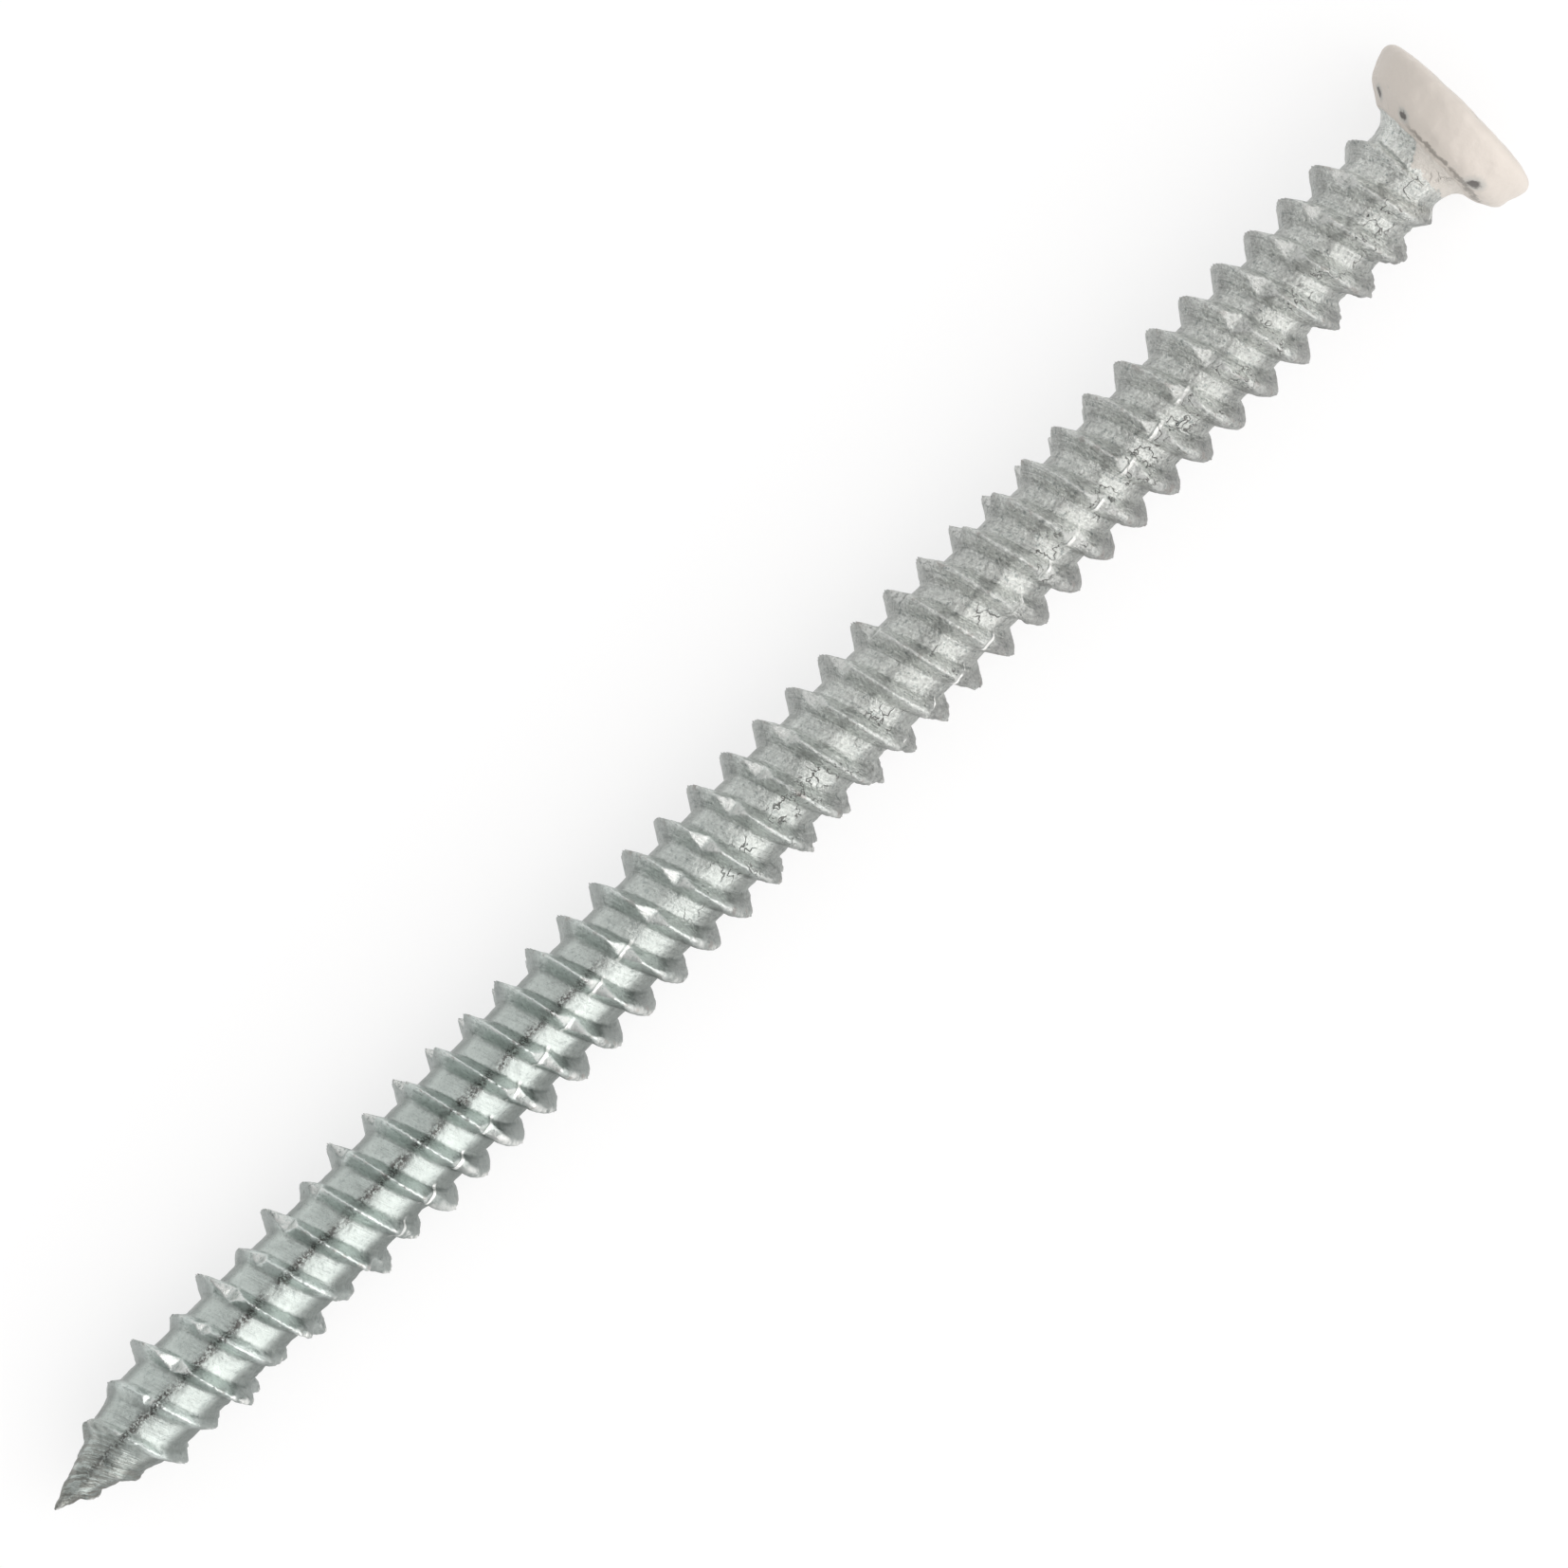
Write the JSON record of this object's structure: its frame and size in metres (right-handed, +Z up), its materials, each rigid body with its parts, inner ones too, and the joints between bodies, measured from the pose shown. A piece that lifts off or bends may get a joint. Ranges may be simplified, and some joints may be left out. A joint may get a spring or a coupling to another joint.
{
  "type": "concrete screw",
  "caption": "Long steel screw for direct fastening into concrete, with a notched two-start thread, a sharp point and a painted countersunk head with a drive recess.",
  "frame": {"origin": "centre of the underside of the lying screw's bounding box", "axes": "+X from the point to the head, level and close to the screw's axis; +Z up"},
  "size_m": [0.112, 0.0114, 0.0114],
  "materials": {
    "steel": "zinc plated, dull",
    "head_paint": "thick white paint, satin"
  },
  "bodies": {
    "root": {"concrete_screw": "steel"}
  },
  "joints": []
}
